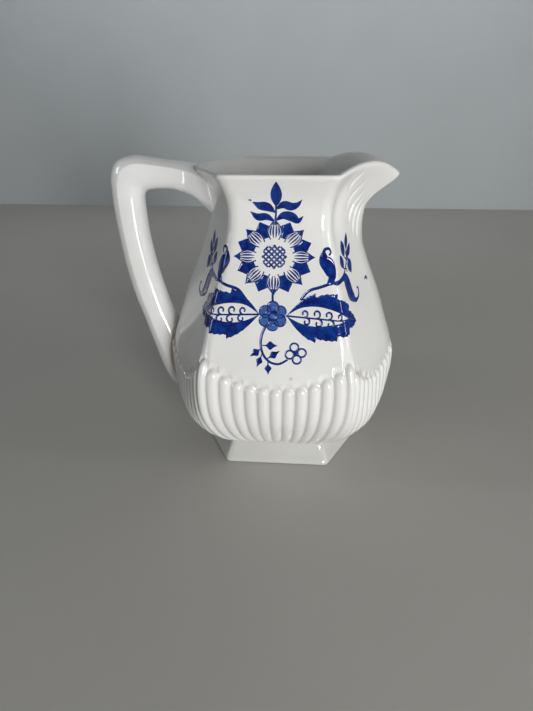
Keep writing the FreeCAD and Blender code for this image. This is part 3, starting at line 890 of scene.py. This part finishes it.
def draw_side_spray(film, mirror):
    """Stem, curled leaf, sprig and drooping leaf at one side of the flower."""
    def place(points):
        return [(2 * MIRROR_LINE - w, z) if mirror else (w, z) for w, z in points]

    film.stroke(place([(8.2, 73.2), (11.0, 76.2), (14.9, 77.5), (18.8, 78.7), (23.2, 79.1), (27.4, 80.4),
                       (29.3, 82.2), (30.5, 84.6), (30.7, 87.2)]), [0.45, 0.5, 0.45, 0.36, 0.3], layer=1)
    film.stroke(place([(17.4, 78.2), (19.3, 80.8), (18.3, 84.0), (16.0, 86.8), (15.8, 88.9)]),
                [0.3, 1.7, 2.5, 2.2, 0.7])
    film.stroke(place([(15.7, 88.2), (16.3, 89.9), (18.2, 89.9), (18.8, 88.6), (17.9, 88.0)]),
                [0.6, 0.5, 0.36])
    sprig = [((30.6, 87.6), (31.0, 93.2), 1.25), ((28.9, 85.4), (26.7, 91.3), 1.5),
             ((31.2, 84.4), (34.0, 89.3), 1.45), ((27.8, 82.0), (25.0, 86.8), 1.45),
             ((31.8, 84.6), (34.2, 79.4), 1.8)]
    for base, tip, half_width in sprig:
        film.leaf(*place([base, tip]), half_width)
        film.stroke(place([base, (30.2, base[1] - 0.8), (30.3, base[1] - 1.6)]), [0.2, 0.25, 0.25])
    film.stroke(place([(19.4, 78.9), (21.6, 78.2), (24.6, 78.8), (27.6, 79.2), (29.8, 76.8), (31.8, 73.2),
                       (34.4, 71.0)]), [0.2, 0.4, 0.8, 1.8, 2.2, 2.1, 1.2])
    film.stroke(place([(33.0, 71.6), (36.6, 70.2), (38.8, 71.2), (38.8, 73.4), (37.6, 73.9)]),
                [1.2, 0.7, 0.45, 0.3])


def draw_bottom_spray(film):
    """Hanging twig with pointed buds and, at its end, a knot of four rings."""
    film.stroke([(-3.9, 64.6), (-5.3, 61.0), (-5.4, 57.2), (-4.2, 54.2), (-2.1, 52.3), (0.9, 51.7),
                 (4.2, 53.2)], [0.5, 0.45, 0.4, 0.36])
    twigs = [((-4.9, 57.9), (0.5, 57.9), 1.5), ((-5.0, 57.0), (-9.3, 54.0), 1.4),
             ((-5.0, 54.9), (-6.8, 50.4), 1.2), ((-2.8, 52.4), (-2.6, 48.0), 1.3),
             ((-3.4, 53.2), (1.4, 56.2), 1.3)]
    for base, tip, half_width in twigs:
        middle = np.add(base, tip) / 2
        widths = [0.2, 0.3, half_width, 0.4 * half_width, LEAST_HALF]
        film.stroke([base, middle, tip], widths, layer=1, step=0.35)
    for centre in ((6.5, 57.5), (9.2, 55.7), (4.9, 55.0), (7.5, 53.4)):
        film.ring(centre, 1.5, 0.34, DARK, 1, ROSETTE_SQUASH)
    film.ring((7.1, 55.5), 0.5, 0.5, DARK, 1)


def draw_stray_mark(film):
    """A smear that the transfer left on the spout side."""
    film.stroke([(46.0, 74.6), (47.3, 75.2), (48.6, 74.0)], [0.3, 0.5, 0.2], step=0.35)


def make_print(name, sides):
    film = PrintFilm()
    draw_flower(film)
    draw_top_spray(film)
    draw_rosette(film)
    draw_big_leaf(film, 1, RIGHT_LEAF)
    draw_big_leaf(film, -1, LEFT_LEAF)
    draw_side_spray(film, False)
    draw_side_spray(film, True)
    draw_bottom_spray(film)
    draw_stray_mark(film)
    return film.build(name, sides)


# ---- materials
GLAZE_IOR = 1.52
GLAZE_ROUGHNESS = (0.05, 0.13)
ORANGE_PEEL = 0.12
ORANGE_PEEL_DEPTH = 0.4  # in nominal millimetres
CLOUD_TONE = (0.955, 0.955, 0.94)  # the darker clouds of the glaze, as a share of its own colour
# painted shade: the grey that the grooves between the reeds are mixed towards
GROOVE_SHADE_GREY = (0.53, 0.54, 0.52)
GROOVE_SHADE_SHARE = 0.32  # how far a groove's painted shade goes towards that grey
BROWN = (0.36, 0.24, 0.11)
PRINT_ROUGHNESS = 0.08
STAGE_ROUGHNESS = 0.75
PORCELAIN = (0.80, 0.797, 0.785)
FOOT_PAINTED_SHADE_TONE = (0.60, 0.60, 0.575)  # painted shade: the foot's glaze is greyed for the dimmer light it gets
HANDLE_PAINTED_LIGHT_TONE = (0.88, 0.882, 0.88)  # painted light: the handle's glaze is whitened for the brighter light it gets


def new_material(name):
    material = bpy.data.materials.new(name)
    material.use_nodes = True
    tree = material.node_tree
    return material, tree, tree.nodes["Principled BSDF"]


def noise(tree, scale, detail=3.0, roughness=0.5):
    coordinates = tree.nodes.new("ShaderNodeTexCoord")
    node = tree.nodes.new("ShaderNodeTexNoise")
    node.inputs["Scale"].default_value = scale
    node.inputs["Detail"].default_value = detail
    node.inputs["Roughness"].default_value = roughness
    tree.links.new(coordinates.outputs["Object"], node.inputs["Vector"])
    return node.outputs["Fac"]


def ramp(tree, factor, stops):
    node = tree.nodes.new("ShaderNodeValToRGB")
    elements = node.color_ramp.elements
    while len(elements) < len(stops):
        elements.new(0.5)
    for element, (position, colour) in zip(elements, stops):
        element.position = position
        element.color = (*colour, 1)
    tree.links.new(factor, node.inputs["Fac"])
    return node.outputs["Color"]


def mix_colour(tree, factor, first, second, mode="MIX"):
    node = tree.nodes.new("ShaderNodeMix")
    node.data_type = "RGBA"
    node.blend_type = mode
    for value, name in ((factor, "Factor"), (first, "A"), (second, "B")):
        socket = [s for s in node.inputs if s.name == name and s.enabled][0]
        if hasattr(value, "node"):
            tree.links.new(value, socket)
        elif isinstance(value, tuple):
            socket.default_value = (*value, 1)
        else:
            socket.default_value = value
    return [s for s in node.outputs if s.enabled][0]


def attribute_share(tree, name, strength):
    """A painted attribute, scaled."""
    source = tree.nodes.new("ShaderNodeAttribute")
    source.attribute_name = name
    scaled = tree.nodes.new("ShaderNodeMath")
    scaled.operation = "MULTIPLY"
    scaled.inputs[1].default_value = strength
    tree.links.new(source.outputs["Fac"], scaled.inputs[0])
    return scaled.outputs[0]


def glaze_material(name, tone):
    """Warm white glaze: soft clouds, painted shade in the grooves, brown stains and faint orange peel."""
    material, tree, shader = new_material(name)
    shade = tuple(c * k for c, k in zip(tone, CLOUD_TONE))
    base = ramp(tree, noise(tree, 55.0, 4.0), [(0.35, shade), (0.65, tone)])
    # painted shade: greys the grooves between the reeds
    groove_shaded = mix_colour(tree, attribute_share(tree, "painted_groove_shade", GROOVE_SHADE_SHARE), base, GROOVE_SHADE_GREY)
    stained = mix_colour(tree, attribute_share(tree, "stain", 1.0), groove_shaded, BROWN)
    tree.links.new(stained, shader.inputs["Base Color"])
    gloss = tree.nodes.new("ShaderNodeMapRange")
    gloss.inputs["To Min"].default_value = GLAZE_ROUGHNESS[0]
    gloss.inputs["To Max"].default_value = GLAZE_ROUGHNESS[1]
    tree.links.new(noise(tree, 240.0, 3.0), gloss.inputs["Value"])
    tree.links.new(gloss.outputs["Result"], shader.inputs["Roughness"])
    bump = tree.nodes.new("ShaderNodeBump")
    bump.inputs["Strength"].default_value = ORANGE_PEEL
    bump.inputs["Distance"].default_value = ORANGE_PEEL_DEPTH * MM
    tree.links.new(noise(tree, 130.0, 2.0), bump.inputs["Height"])
    tree.links.new(bump.outputs["Normal"], shader.inputs["Normal"])
    shader.inputs["IOR"].default_value = GLAZE_IOR
    return material


def print_material(name, deep, pale):
    """Cobalt under the glaze: cloudy and speckled where the transfer took unevenly."""
    material, tree, shader = new_material(name)
    cloud = ramp(tree, noise(tree, 420.0, 5.0, 0.65), [(0.38, deep), (0.66, pale)])
    speck = ramp(tree, noise(tree, 1500.0, 2.0), [(0.60, (1.0, 1.0, 1.0)), (0.74, (1.35, 1.35, 1.25))])
    colour = mix_colour(tree, 1.0, cloud, speck, "MULTIPLY")
    tree.links.new(colour, shader.inputs["Base Color"])
    shader.inputs["Roughness"].default_value = PRINT_ROUGHNESS
    shader.inputs["IOR"].default_value = GLAZE_IOR
    return material


# ---- stage
def stage_material(name, tone):
    """Plain matt paint with the faintest unevenness."""
    material, tree, shader = new_material(name)
    darker = tuple(c * 0.95 for c in tone)
    mottled = ramp(tree, noise(tree, 9.0, 4.0), [(0.3, darker), (0.7, tone)])
    tree.links.new(mottled, shader.inputs["Base Color"])
    shader.inputs["Roughness"].default_value = STAGE_ROUGHNESS
    return material


STAGE_HALF = 1500  # half-width of the floor and the backdrop
FLOOR_NEAR = -900
WALL_Y = 570
WALL_TOP = 900
WALL_ROOT = -5  # the backdrop starts this far under the floor


def make_stage():
    floor_points = [(-STAGE_HALF, FLOOR_NEAR, 0), (STAGE_HALF, FLOOR_NEAR, 0),
                    (STAGE_HALF, WALL_Y, 0), (-STAGE_HALF, WALL_Y, 0)]
    floor = make_object("floor", floor_points, [(0, 1, 2, 3)], smooth=False)
    floor.data.materials.append(stage_material("pale_floor", (0.50, 0.485, 0.45)))
    wall_points = [(-STAGE_HALF, WALL_Y, WALL_ROOT), (STAGE_HALF, WALL_Y, WALL_ROOT),
                   (STAGE_HALF, WALL_Y, WALL_TOP), (-STAGE_HALF, WALL_Y, WALL_TOP)]
    wall = make_object("backdrop", wall_points, [(0, 1, 2, 3)], smooth=False)
    wall.data.materials.append(stage_material("pale_wall", (0.60, 0.64, 0.66)))


def aim(obj, target):
    direction = Vector(target) - obj.location
    obj.rotation_euler = direction.to_track_quat("-Z", "Y").to_euler()


def area_light(name, place, target, size, power, colour):
    """Rectangular light; place, target and size are in nominal millimetres, power in watts."""
    data = bpy.data.lights.new(name, "AREA")
    data.shape = "RECTANGLE"
    data.size, data.size_y = size[0] * MM, size[1] * MM
    data.energy = power
    data.color = colour
    light = bpy.data.objects.new(name, data)
    bpy.context.scene.collection.objects.link(light)
    light.location = [c * MM for c in place]
    aim(light, [c * MM for c in target])
    return light


MIDDLE_Z = 60  # half-way up the jug, where most lights aim


def from_side(azimuth, elevation, distance):
    """Place seen from the jug at an angle right of its front and above the floor."""
    turn, rise = math.radians(azimuth), math.radians(elevation)
    flat = distance * math.cos(rise)
    return (flat * math.sin(turn), -flat * math.cos(turn), MIDDLE_Z + distance * math.sin(rise))


def make_lights():
    """Tall window at the front right, weak ones at both sides, a wash on the backdrop, even sky."""
    centre = (0, 0, MIDDLE_Z)
    area_light("window", from_side(24, 5, 620), centre, (130, 220), 2.75, (1.0, 0.995, 0.99))
    area_light("side_window", from_side(75, 16, 520), centre, (50, 240), 0.30, (1.0, 1.0, 1.0))
    area_light("left_glow", from_side(-80, 25, 520), centre, (40, 180), 0.19, (0.85, 0.93, 1.0))
    area_light("wall_wash", (0, 300, 480), (0, WALL_Y, 280), (900, 120), 0.7, (0.95, 0.98, 1.0))
    strip = area_light("low_strip", (-160, -105, 70), (-60, 0, 75), (10, 120), 0.05, (0.95, 0.98, 1.0))
    strip.visible_diffuse = False  # it only draws the long highlight on the glaze
    world = bpy.data.worlds.new("studio")
    world.use_nodes = True
    background = world.node_tree.nodes["Background"]
    background.inputs["Color"].default_value = (0.82, 0.83, 0.82, 1)
    background.inputs["Strength"].default_value = 0.153
    bpy.context.scene.world = world
    bpy.context.scene.view_settings.view_transform = "Standard"


CAMERA_PLACE = (9.95, -217.47, 136.43)
CAMERA_YAW = 4.415  # degrees, turned left of square
CAMERA_DOWN = 25.35  # degrees below level
CAMERA_ROLL = -0.133
SENSOR_HEIGHT = 36
LENS = 27.038


def make_camera():
    """Looks down at the front panel from a little to the right of square."""
    data = bpy.data.cameras.new("camera")
    data.sensor_fit = "VERTICAL"
    data.sensor_height = SENSOR_HEIGHT
    data.lens = LENS
    camera = bpy.data.objects.new("camera", data)
    bpy.context.scene.collection.objects.link(camera)
    place = Matrix.Translation([c * MM for c in CAMERA_PLACE])
    yaw = Matrix.Rotation(math.radians(CAMERA_YAW), 4, "Z")
    pitch = Matrix.Rotation(math.radians(90 - CAMERA_DOWN), 4, "X")
    roll = Matrix.Rotation(math.radians(CAMERA_ROLL), 4, "Z")
    camera.matrix_world = place @ yaw @ pitch @ roll
    bpy.context.scene.camera = camera


# ---- assembly
body = make_body()
body.data.materials.append(glaze_material("body_glaze_finish", PORCELAIN))
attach(body, "root")
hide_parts("body", "spout", "belly_reeds")

foot = make_foot()
# painted shade: the foot's glaze colour is greyed
foot.data.materials.append(glaze_material("foot_glaze_painted_shade", FOOT_PAINTED_SHADE_TONE))
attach(foot, "root")
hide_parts("foot_ring")

handle = make_handle()
# painted light: the handle's glaze colour is whitened
handle.data.materials.append(glaze_material("handle_glaze_painted_light", HANDLE_PAINTED_LIGHT_TONE))
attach(handle, "root")
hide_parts("handle", "handle_slip")

DARK_BLUE = print_material("cobalt_deep", (0.0005, 0.006, 0.125), (0.001, 0.044, 0.265))
MID_BLUE = print_material("cobalt_wash", (0.035, 0.09, 0.30), (0.066, 0.142, 0.40))
for piece_name, node, slot, sides in (("front_print_blue", "front_print", "front_blue", FRONT_SIDES),
                                      ("back_print_blue", "back_print", "back_blue", BACK_SIDES)):
    piece = make_print(piece_name, sides)
    piece.data.materials.append(DARK_BLUE)
    piece.data.materials.append(MID_BLUE)
    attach(piece, "root")
    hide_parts(node)

make_stage()
make_lights()
make_camera()
